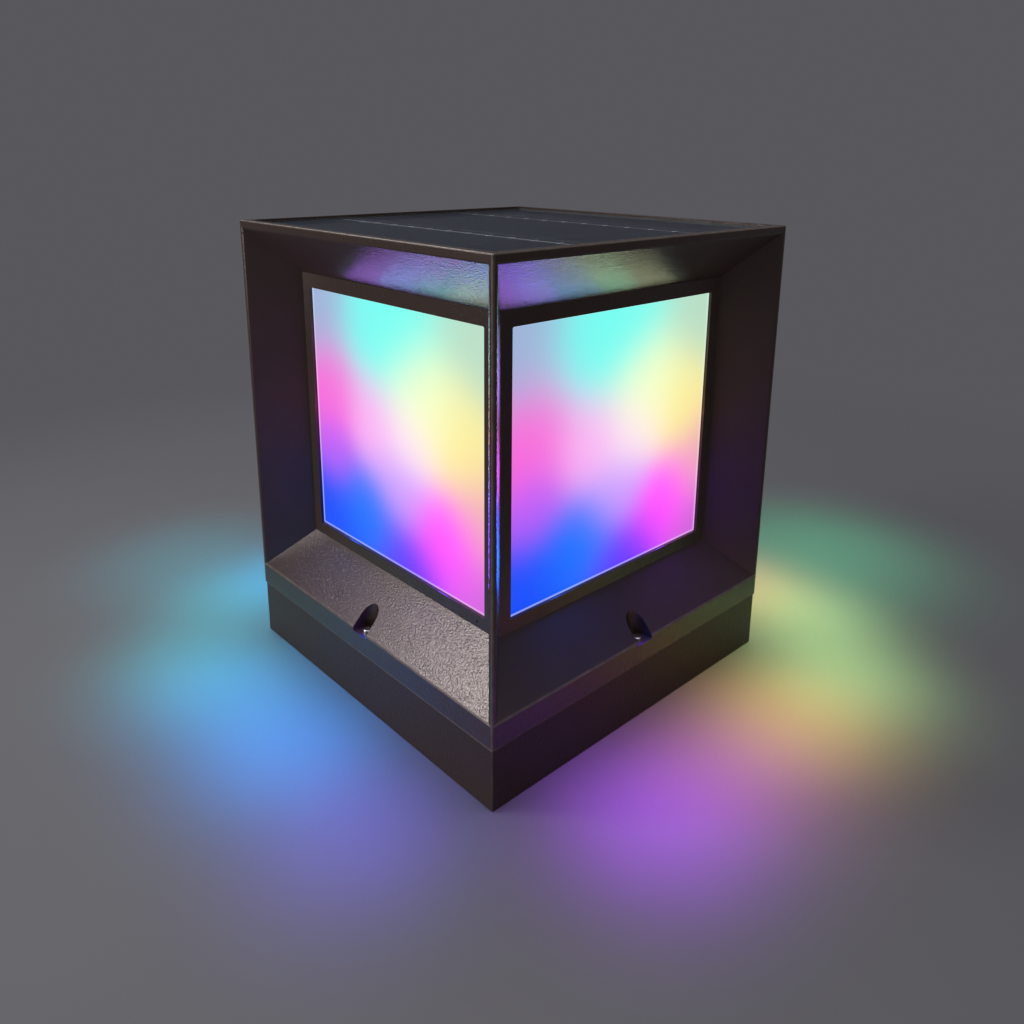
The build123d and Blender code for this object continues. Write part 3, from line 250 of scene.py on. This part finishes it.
def moulded(name, low, high, gloss, grain_size, grain_depth, **values):
    """Moulded or pressed material: two close tones in clouds, and a grain that sets roughness and bump."""
    cloud_size = 0.05
    finish, shader, place = new_finish(name, **values)
    grain = add_node(finish, "ShaderNodeGroup", node_tree=mould_grain)
    grain.inputs["Cloud Scale"].default_value = 1.0 / cloud_size
    grain.inputs["Grain Scale"].default_value = 1.0 / grain_size
    join(finish, place, grain.inputs["Place"])
    colour = blend_colours(finish, grain.outputs["Clouds"], low, high)
    join(finish, colour, shader.inputs["Base Color"])
    join(finish, spread(finish, grain.outputs["Grain"], *gloss), shader.inputs["Roughness"])
    relief(finish, shader, grain.outputs["Grain"], grain_depth)
    return finish, shader, place, colour


def edge_highlight_group():
    """Painted edge highlight from 1 on an outer upright corner of the square column to 0 at a reach from it,
    and
    the same on three level edges: 1 minus the distance over the reach, the largest of them, broken up by
    noise."""
    group, start, end = new_group("painted_edge_highlight", (("Place", "NodeSocketVector"),), (("Highlight", "NodeSocketFloat"),))
    nodes, links = group.nodes, group.links

    def math_node(operation, first, second=None):
        made = nodes.new("ShaderNodeMath")
        made.operation = operation
        for socket, value in zip(made.inputs, (first, second)):
            if isinstance(value, bpy.types.NodeSocket):
                links.new(value, socket)
            elif value is not None:
                socket.default_value = value
        return made.outputs[0]

    half_width = 0.125
    reach = 0.0016
    seam_level, crease_level, rim_level = 0.0385, 0.0535, 0.2985
    narrowing = 1.6
    apart = nodes.new("ShaderNodeSeparateXYZ")
    links.new(start.outputs["Place"], apart.inputs["Vector"])
    gap_x = math_node("SUBTRACT", half_width, math_node("ABSOLUTE", apart.outputs["X"]))
    gap_y = math_node("SUBTRACT", half_width, math_node("ABSOLUTE", apart.outputs["Y"]))
    face_gap = math_node("MINIMUM", gap_x, gap_y)
    nearest = math_node("MAXIMUM", gap_x, gap_y)
    for level in (seam_level, crease_level, rim_level):
        level_gap = math_node("ABSOLUTE", math_node("SUBTRACT", apart.outputs["Z"], level))
        edge_gap = math_node("MULTIPLY", math_node("MAXIMUM", level_gap, face_gap), narrowing)
        nearest = math_node("MINIMUM", nearest, edge_gap)
    near = math_node("SUBTRACT", 1.0, math_node("DIVIDE", nearest, reach))
    blots = nodes.new("ShaderNodeTexNoise")
    blots.inputs["Scale"].default_value = 120.0
    blots.inputs["Detail"].default_value = 4.0
    links.new(start.outputs["Place"], blots.inputs["Vector"])
    broken_highlight = math_node("MULTIPLY", math_node("MAXIMUM", near, 0.0), blots.outputs["Fac"])
    links.new(broken_highlight, end.inputs["Highlight"])
    return group


painted_edge_highlight = edge_highlight_group()


def bronze(name, low, high, gloss, **values):
    """Bronze-brown plastic with a painted highlight along its edges."""
    finish, shader, place, colour = moulded(name, low, high, gloss, 0.0012, 0.00022, **values)
    highlight_node = add_node(finish, "ShaderNodeGroup", node_tree=painted_edge_highlight)
    join(finish, place, highlight_node.inputs["Place"])
    # Painted edge highlight: the colour turns lighter towards this light brown where the edge mask is high.
    highlighted_colour = add_node(finish, "ShaderNodeMix", data_type="RGBA")
    highlighted_colour.inputs[7].default_value = (0.26, 0.21, 0.17, 1.0)
    join(finish, highlight_node.outputs["Highlight"], highlighted_colour.inputs["Factor"])
    join(finish, colour, highlighted_colour.inputs[6])
    join(finish, highlighted_colour.outputs[2], shader.inputs["Base Color"])
    return finish


warm_sheen = (1.0, 0.86, 0.83, 1.0)
dress(bronze("bronze_plastic", (0.034, 0.0215, 0.0165), (0.048, 0.0315, 0.0245), (0.17, 0.27),
             Specular_IOR_Level=0.5, Specular_Tint=warm_sheen), "housing")
dress(bronze("plinth_plastic", (0.034, 0.0215, 0.0165), (0.044, 0.0290, 0.0225), (0.30, 0.42),
             Specular_IOR_Level=0.2, Specular_Tint=warm_sheen), "plinth")

# Diffusers: opal acrylic plates, lit from behind by light packages in changing colours. Each light has
# its place across and up the window from -1 to 1, its spread, and its colour with its strength.
window_half = 0.0873
window_middle = 0.17275
window_half_height = 0.08325
lights = (
    (-1.05, 0.95, 0.32, (0.34, 0.44, 0.68)),
    (-0.05, 0.85, 0.34, (0.18, 0.98, 0.88)),
    (1.05, 0.90, 0.32, (0.48, 0.72, 0.56)),
    (0.35, 0.34, 0.24, (0.98, 1.05, 0.60)),
    (0.75, 0.16, 0.26, (1.00, 0.86, 0.30)),
    (-0.85, 0.10, 0.29, (0.96, 0.14, 0.70)),
    (-0.22, 0.02, 0.22, (1.00, 0.48, 0.92)),
    (0.20, 0.02, 0.18, (1.05, 0.82, 0.92)),
    (0.08, -0.34, 0.20, (0.62, 0.36, 1.00)),
    (-0.80, -0.28, 0.16, (0.45, 0.11, 1.00)),
    (-0.85, -0.82, 0.32, (0.00, 0.07, 0.96)),
    (-0.36, -0.64, 0.24, (0.00, 0.20, 1.02)),
    (0.15, -1.00, 0.24, (0.10, 0.03, 1.00)),
    (0.58, -0.60, 0.24, (1.10, 0.07, 1.05)),
    (1.05, -0.32, 0.24, (0.85, 0.40, 0.46)),
    (1.05, -1.00, 0.26, (0.60, 0.13, 0.70)),
)


def light_group():
    """One light: its colour times exp(-d^2 / 2s^2), with d the distance from its place and s its spread."""
    group, start, end = new_group(
        "one_light",
        (("Place", "NodeSocketVector"), ("Centre", "NodeSocketVector"), ("Spread", "NodeSocketFloat"),
         ("Light", "NodeSocketVector")),
        (("Light", "NodeSocketVector"), ("Weight", "NodeSocketFloat")),
    )
    nodes, links = group.nodes, group.links
    away = nodes.new("ShaderNodeVectorMath")
    away.operation = "DISTANCE"
    links.new(start.outputs["Place"], away.inputs[0])
    links.new(start.outputs["Centre"], away.inputs[1])
    value = away.outputs["Value"]
    steps = (("DIVIDE", start.outputs["Spread"]), ("POWER", 2.0), ("MULTIPLY", -0.5), ("EXPONENT", None))
    for operation, other in steps:
        step = nodes.new("ShaderNodeMath")
        step.operation = operation
        links.new(value, step.inputs[0])
        if isinstance(other, float):
            step.inputs[1].default_value = other
        elif other is not None:
            links.new(other, step.inputs[1])
        value = step.outputs[0]
    shine = nodes.new("ShaderNodeVectorMath")
    shine.operation = "SCALE"
    links.new(start.outputs["Light"], shine.inputs[0])
    links.new(value, shine.inputs["Scale"])
    links.new(shine.outputs["Vector"], end.inputs["Light"])
    links.new(value, end.inputs["Weight"])
    return group


one_light = light_group()
for side_name, axis, sign in (("front", "X", 1), ("right", "Y", 1), ("back", "X", -1), ("left", "Y", -1)):
    opal, opal_shader, opal_place = new_finish(
        f"opal_{side_name}", Emission_Strength=1.0, IOR=1.49, Specular_IOR_Level=0.2
    )
    apart = add_node(opal, "ShaderNodeSeparateXYZ")
    join(opal, opal_place, apart.inputs["Vector"])
    along = add_node(opal, "ShaderNodeMath", operation="MULTIPLY")
    along.inputs[1].default_value = sign / window_half
    join(opal, apart.outputs[axis], along.inputs[0])
    up = add_node(opal, "ShaderNodeMapRange", clamp=False, To_Min=-1.0, To_Max=1.0,
                  From_Min=window_middle - window_half_height, From_Max=window_middle + window_half_height)
    join(opal, apart.outputs["Z"], up.inputs["Value"])
    flat_place = add_node(opal, "ShaderNodeCombineXYZ")
    join(opal, along.outputs[0], flat_place.inputs["X"])
    join(opal, up.outputs["Result"], flat_place.inputs["Y"])
    light_sum = weight_sum = None
    for light_along, light_up, light_spread, colour in lights:
        one = add_node(opal, "ShaderNodeGroup", node_tree=one_light)
        one.inputs["Centre"].default_value = (light_along, light_up, 0.0)
        one.inputs["Spread"].default_value = light_spread
        one.inputs["Light"].default_value = colour
        join(opal, flat_place.outputs["Vector"], one.inputs["Place"])
        if light_sum is None:
            light_sum, weight_sum = one.outputs["Light"], one.outputs["Weight"]
            continue
        more_light = add_node(opal, "ShaderNodeVectorMath", operation="ADD")
        join(opal, light_sum, more_light.inputs[0])
        join(opal, one.outputs["Light"], more_light.inputs[1])
        more_weight = add_node(opal, "ShaderNodeMath", operation="ADD")
        join(opal, weight_sum, more_weight.inputs[0])
        join(opal, one.outputs["Weight"], more_weight.inputs[1])
        light_sum, weight_sum = more_light.outputs["Vector"], more_weight.outputs[0]
    inverse = add_node(opal, "ShaderNodeMath", operation="DIVIDE")
    inverse.inputs[0].default_value = 1.0
    join(opal, weight_sum, inverse.inputs[1])
    mean_light = add_node(opal, "ShaderNodeVectorMath", operation="SCALE")
    join(opal, light_sum, mean_light.inputs[0])
    join(opal, inverse.outputs[0], mean_light.inputs["Scale"])
    # Whiter line round the window, where the plate's edge carries light
    edge_across = add_node(opal, "ShaderNodeMath", operation="ABSOLUTE")
    join(opal, along.outputs[0], edge_across.inputs[0])
    edge_up = add_node(opal, "ShaderNodeMath", operation="ABSOLUTE")
    join(opal, up.outputs["Result"], edge_up.inputs[0])
    edge_far = add_node(opal, "ShaderNodeMath", operation="MAXIMUM")
    join(opal, edge_across.outputs[0], edge_far.inputs[0])
    join(opal, edge_up.outputs[0], edge_far.inputs[1])
    edge_line = add_node(opal, "ShaderNodeMapRange", From_Min=0.986, From_Max=0.993)
    join(opal, edge_far.outputs[0], edge_line.inputs["Value"])
    edge_mix = add_node(opal, "ShaderNodeMix", data_type="RGBA")
    edge_mix.inputs[7].default_value = (0.95, 1.0, 1.0, 1.0)
    join(opal, spread(opal, edge_line.outputs["Result"], 0.0, 0.28), edge_mix.inputs["Factor"])
    join(opal, mean_light.outputs["Vector"], edge_mix.inputs[6])
    join(opal, edge_mix.outputs[2], opal_shader.inputs["Emission Color"])
    haze = noise(opal, opal_place, 0.004, 2.0)
    opal_tone = blend_colours(opal, haze, (0.016, 0.016, 0.020), (0.024, 0.024, 0.028))
    join(opal, opal_tone, opal_shader.inputs["Base Color"])
    join(opal, spread(opal, haze, 0.25, 0.34), opal_shader.inputs["Roughness"])
    dress(opal, f"diffuser_{side_name}")

# Coloured light that the lamp throws: spots beside it for the floor, and small lamps in each window for
# the slopes round it. All rise with the head. The floor has blue lights in front and warm ones on the
# right, and the left and back mirror them with one wide light more. A spot has its place along the side
# in half windows, its reach from the middle, its height, its colour and its power.
blue_spill = (
    (-1.45, 0.185, 0.090, (0.00, 0.50, 0.56), 1.20),
    (-0.80, 0.180, 0.090, (0.00, 0.42, 0.90), 1.65),
    (0.05, 0.180, 0.090, (0.00, 0.30, 1.00), 1.85),
    (1.00, 0.185, 0.090, (0.16, 0.12, 1.00), 1.00),
)
warm_spill = (
    (-0.75, 0.185, 0.090, (0.42, 0.05, 1.00), 1.50),
    (0.00, 0.190, 0.090, (0.95, 0.24, 0.75), 0.90),
    (0.80, 0.190, 0.090, (1.00, 0.60, 0.14), 1.45),
    (1.55, 0.190, 0.090, (0.45, 0.80, 0.26), 1.60),
)
teal_spill = (-1.35, 0.270, 0.130, (0.00, 0.50, 0.60), 1.40)
green_spill = (0.95, 0.300, 0.160, (0.12, 0.80, 0.38), 2.60)
spill_sides = (
    (blue_spill, 1),
    (warm_spill, 1),
    (warm_spill + (green_spill,), -1),
    (blue_spill + (teal_spill,), -1),
)
window_lights = (
    (-0.62, 0.62, (0.45, 0.14, 1.00), 0.036),
    (-0.20, 0.62, (0.16, 0.45, 1.00), 0.030),
    (0.20, 0.62, (0.20, 0.90, 0.55), 0.026),
    (0.62, 0.62, (0.62, 0.62, 0.34), 0.026),
    (0.62, 0.02, (0.90, 0.45, 0.25), 0.040),
    (-0.62, 0.02, (0.70, 0.08, 0.75), 0.060),
    (-0.55, -0.62, (0.01, 0.10, 1.00), 0.300),
    (0.55, -0.62, (0.16, 0.04, 1.00), 0.260),
)
downward = Vector((0, 0, -1))
spill_cone = 1.70
spill_softness = 0.03
glow_reach = 0.0958
glow_width = 0.060


def hidden_lamp(name, kind, colour, power, place, direction, receivers):
    """Coloured lamp that isn't seen itself, lights some objects alone and rises with the head."""
    lamp = bpy.data.lights.new(name, kind)
    lamp.color = colour
    lamp.energy = power
    held = bpy.data.objects.new(name, lamp)
    turn = direction.to_track_quat("-Z", "Y")
    held.matrix_world = Matrix.Translation(place) @ turn.to_matrix().to_4x4()
    held.visible_camera = False
    held.light_linking.receiver_collection = receivers
    bpy.context.scene.collection.objects.link(held)
    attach(held, "head")
    return held


lit_by_spill = bpy.data.collections.new("lit_by_spill")
lit_by_spill.objects.link(floor)
lit_by_window = bpy.data.collections.new("lit_by_window")
lit_by_window.objects.link(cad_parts["housing"])
for side in range(4):
    outward = Vector((math.sin(side * math.pi / 2), -math.cos(side * math.pi / 2), 0))
    sideways = Vector((math.cos(side * math.pi / 2), math.sin(side * math.pi / 2), 0))
    spills, mirror = spill_sides[side]
    for number, (light_along, reach, height, colour, power) in enumerate(spills):
        place = outward * reach + sideways * (mirror * light_along * window_half)
        place.z = height
        name = f"spill_{side}_{number}"
        spill = hidden_lamp(name, "SPOT", colour, power, place, downward, lit_by_spill)
        spill.data.spot_size = spill_cone
        spill.data.spot_blend = 1.0
        spill.data.shadow_soft_size = spill_softness
        spill.visible_glossy = False
    for number, (light_along, light_up, colour, power) in enumerate(window_lights):
        place = outward * glow_reach + sideways * (light_along * window_half)
        place.z = window_middle + light_up * window_half_height
        name = f"glow_{side}_{number}"
        glow = hidden_lamp(name, "AREA", colour, power, place, outward, lit_by_window)
        glow.data.shape = "DISK"
        glow.data.size = glow_width

# Foam seals, clamp bars and their screws, all behind the frames.
def dress_moulded(nodes, name, low, high, gloss, grain_size, grain_depth, **values):
    """Moulded finish of its own, given to CAD nodes."""
    dress(moulded(name, low, high, gloss, grain_size, grain_depth, **values)[0], *nodes)


dress_moulded(("diffuser_seals", "battery_foam"), "closed_cell_foam",
              (0.012, 0.012, 0.013), (0.022, 0.022, 0.023), (0.7, 0.9), 0.0008, 0.00030)
dress_moulded(("diffuser_clamps",), "clamp_plastic",
              (0.030, 0.030, 0.032), (0.045, 0.045, 0.047), (0.4, 0.55), 0.0012, 0.00008)
dress_moulded(("head_screws", "clamp_screws", "tower_screws", "led_board_screws", "tray_screws",
               "battery_door_screws", "control_board_screws", "receiver_screws"), "plated_steel",
              (0.55, 0.54, 0.52), (0.70, 0.69, 0.66), (0.20, 0.36), 0.0012, 0.00002, Metallic=1.0)

# Solar panel: dark cells under a clear cover on a pale board, tinned tabs across the two row gaps, and
# a black bead round the cover. The cells have printed silver fingers and a wider silver print along the
# ends of the rows. The cover is mostly see-through, with a faint haze that dulls its reflections.
cell_step = (0.0195, 0.107, 1.0)
finger_period = 0.0125
row_lines = (-0.0506, 0.0560)
row_print_reach = 0.0022
silicon, silicon_shader, silicon_place = new_finish("silicon", Specular_IOR_Level=0.03)
cell_steps = add_node(silicon, "ShaderNodeVectorMath", operation="SNAP")
cell_steps.inputs[1].default_value = cell_step
join(silicon, silicon_place, cell_steps.inputs[0])
cell_tone = add_node(silicon, "ShaderNodeTexWhiteNoise")
join(silicon, cell_steps.outputs["Vector"], cell_tone.inputs["Vector"])
cell_shade = blend_colours(
    silicon, cell_tone.outputs["Value"], (0.0035, 0.0065, 0.0135), (0.0060, 0.0100, 0.0190)
)
fingers = add_node(silicon, "ShaderNodeTexWave", Scale=1.0 / finger_period, Detail=0.0)
fingers.bands_direction = "Y"
join(silicon, silicon_place, fingers.inputs["Vector"])
finger_line = add_node(silicon, "ShaderNodeMapRange", From_Min=0.96, From_Max=1.0, To_Max=0.35)
join(silicon, fingers.outputs["Fac"], finger_line.inputs["Value"])
silver_print = add_node(silicon, "ShaderNodeMix", data_type="RGBA")
silver_print.inputs[7].default_value = (0.10, 0.11, 0.12, 1.0)
join(silicon, finger_line.outputs["Result"], silver_print.inputs["Factor"])
join(silicon, cell_shade, silver_print.inputs[6])
cell_apart = add_node(silicon, "ShaderNodeSeparateXYZ")
join(silicon, silicon_place, cell_apart.inputs["Vector"])
row_prints = add_node(silicon, "ShaderNodeMath", operation="MAXIMUM")
for number, row_line in enumerate(row_lines):
    at_row_line = add_node(silicon, "ShaderNodeMath", operation="COMPARE")
    at_row_line.inputs[1].default_value = row_line
    at_row_line.inputs[2].default_value = row_print_reach
    join(silicon, cell_apart.outputs["Y"], at_row_line.inputs[0])
    join(silicon, at_row_line.outputs[0], row_prints.inputs[number])
silver_strip = add_node(silicon, "ShaderNodeMix", data_type="RGBA")
silver_strip.inputs[7].default_value = (0.085, 0.090, 0.100, 1.0)
join(silicon, row_prints.outputs[0], silver_strip.inputs["Factor"])
join(silicon, silver_print.outputs[2], silver_strip.inputs[6])
join(silicon, silver_strip.outputs[2], silicon_shader.inputs["Base Color"])
cell_gloss = spread(silicon, noise(silicon, silicon_place, 0.004), 0.28, 0.42)
join(silicon, cell_gloss, silicon_shader.inputs["Roughness"])
dress(silicon, "solar_cells")
dress_moulded(("solar_backboard",), "board_lacquer",
              (0.50, 0.52, 0.54), (0.62, 0.64, 0.66), (0.45, 0.60), 0.0008, 0.00003)
dress_moulded(("solar_tabs",), "tinned_copper",
              (0.72, 0.72, 0.71), (0.88, 0.88, 0.87), (0.28, 0.42), 0.0006, 0.00006, Metallic=1.0)
clear_cover, cover_shader, cover_place = new_finish(
    "clear_cover", Transmission_Weight=1.0, IOR=1.30, Alpha=0.15, Base_Color=(0.93, 0.96, 0.98, 1.0)
)
cover_haze = noise(clear_cover, cover_place, 0.03, 3.0)
join(clear_cover, spread(clear_cover, cover_haze, 0.04, 0.10), cover_shader.inputs["Roughness"])
lamp_light = add_node(clear_cover, "ShaderNodeBsdfTransparent", Color=(0.9, 0.93, 0.95, 1.0))
cover_path = add_node(clear_cover, "ShaderNodeLightPath")
cover_mix = add_node(clear_cover, "ShaderNodeMixShader")
join(clear_cover, cover_path.outputs["Is Shadow Ray"], cover_mix.inputs["Fac"])
join(clear_cover, cover_shader.outputs["BSDF"], cover_mix.inputs[1])
join(clear_cover, lamp_light.outputs["BSDF"], cover_mix.inputs[2])
cover_output = clear_cover.node_tree.nodes["Material Output"]
join(clear_cover, cover_mix.outputs["Shader"], cover_output.inputs["Surface"])
dress(clear_cover, "solar_cover")
dress_moulded(("solar_seal", "tray_gasket", "battery_door_gasket", "switch_seal"), "seal_rubber",
              (0.010, 0.010, 0.011), (0.018, 0.018, 0.019), (0.45, 0.65), 0.0020, 0.00008)
dress_moulded(("solar_adhesive",), "bed_glue",
              (0.55, 0.54, 0.50), (0.66, 0.65, 0.61), (0.40, 0.60), 0.0030, 0.00010)

# Light tower and its boards: glossy white plastic, white lacquered boards with pale tracks, light
# packages with a warm clear filling.
dress_moulded(("led_tower",), "white_plastic",
              (0.74, 0.74, 0.72), (0.80, 0.80, 0.78), (0.28, 0.42), 0.0015, 0.00004)


def circuit_board(name, lacquer, track, track_size):
    """Lacquered board: tracks where a Voronoi pattern's cell edges lie, raised a little."""
    finish, shader, place = new_finish(name, Specular_IOR_Level=0.5)
    paths = add_node(finish, "ShaderNodeTexVoronoi", Scale=1.0 / track_size)
    paths.feature = "DISTANCE_TO_EDGE"
    paths.distance = "EUCLIDEAN"
    join(finish, place, paths.inputs["Vector"])
    line = add_node(finish, "ShaderNodeMapRange", From_Min=0.05, From_Max=0.08, To_Min=1.0, To_Max=0.0)
    join(finish, paths.outputs["Distance"], line.inputs["Value"])
    join(finish, blend_colours(finish, line.outputs["Result"], lacquer, track), shader.inputs["Base Color"])
    join(finish, spread(finish, noise(finish, place, 0.003), 0.30, 0.42), shader.inputs["Roughness"])
    relief(finish, shader, line.outputs["Result"], 0.00003)
    return finish


dress(circuit_board("light_board_lacquer", (0.78, 0.79, 0.78), (0.68, 0.70, 0.69), 0.009),
      "led_board_front", "led_board_right", "led_board_back", "led_board_left")
dress(circuit_board("green_board_lacquer", (0.008, 0.070, 0.026), (0.016, 0.120, 0.045), 0.004),
      "control_board", "receiver_board")
dress_moulded(("led_packages",), "package_resin",
              (0.80, 0.72, 0.42), (0.86, 0.80, 0.55), (0.15, 0.25), 0.0010, 0.00002)
dress_moulded(("led_plugs", "control_plugs"), "plug_nylon",
              (0.62, 0.60, 0.54), (0.70, 0.68, 0.62), (0.40, 0.52), 0.0010, 0.00004)

# Tray, battery door, battery, its contacts, and what stands on the control board: black and sleeved
# plastics, a blue wrap round the cells and nickel on the contacts and the switch's nut.
dress_moulded(("tray", "battery_door"), "tray_plastic",
              (0.014, 0.014, 0.015), (0.022, 0.022, 0.023), (0.38, 0.52), 0.0012, 0.00010)
dress_moulded(("battery_cells",), "cell_wrap",
              (0.020, 0.120, 0.330), (0.030, 0.150, 0.390), (0.25, 0.34), 0.0040, 0.00003)
dress_moulded(("battery_contacts", "switch_nut"), "nickel_strip",
              (0.60, 0.58, 0.52), (0.70, 0.68, 0.62), (0.25, 0.40), 0.0010, 0.00002, Metallic=1.0)
dress_moulded(("control_chips", "receiver_eye"), "chip_epoxy",
              (0.016, 0.016, 0.017), (0.026, 0.026, 0.027), (0.45, 0.60), 0.0005, 0.00004)
dress_moulded(("control_capacitors",), "can_sleeve",
              (0.020, 0.022, 0.035), (0.030, 0.032, 0.048), (0.22, 0.32), 0.0020, 0.00002)

# Receiver pin: dark acrylic that reads as a hole from outside. Switch: black plastic body, red button.
dress_moulded(("receiver_lens",), "pin_acrylic", (0.004, 0.003, 0.003), (0.008, 0.005, 0.005),
              (0.08, 0.14), 0.0010, 0.00001, Specular_IOR_Level=0.05)
dress_moulded(("switch_body",), "switch_plastic",
              (0.015, 0.015, 0.016), (0.024, 0.024, 0.025), (0.35, 0.45), 0.0008, 0.00005)
dress_moulded(("switch_button",), "button_plastic",
              (0.42, 0.020, 0.016), (0.50, 0.030, 0.024), (0.30, 0.40), 0.0008, 0.00004)

# Brass inserts in the plinth, and the leads: black for the signals and the panel, red for the battery.
dress_moulded(("plinth_inserts",), "insert_brass",
              (0.62, 0.43, 0.16), (0.72, 0.52, 0.22), (0.25, 0.38), 0.0008, 0.00003, Metallic=1.0)
dress_moulded(("solar_lead", "led_leads", "switch_lead", "receiver_lead"), "black_lead",
              (0.012, 0.012, 0.012), (0.020, 0.020, 0.020), (0.35, 0.48), 0.0008, 0.00003)
dress_moulded(("battery_leads",), "red_lead",
              (0.38, 0.015, 0.012), (0.48, 0.024, 0.018), (0.35, 0.48), 0.0008, 0.00003)
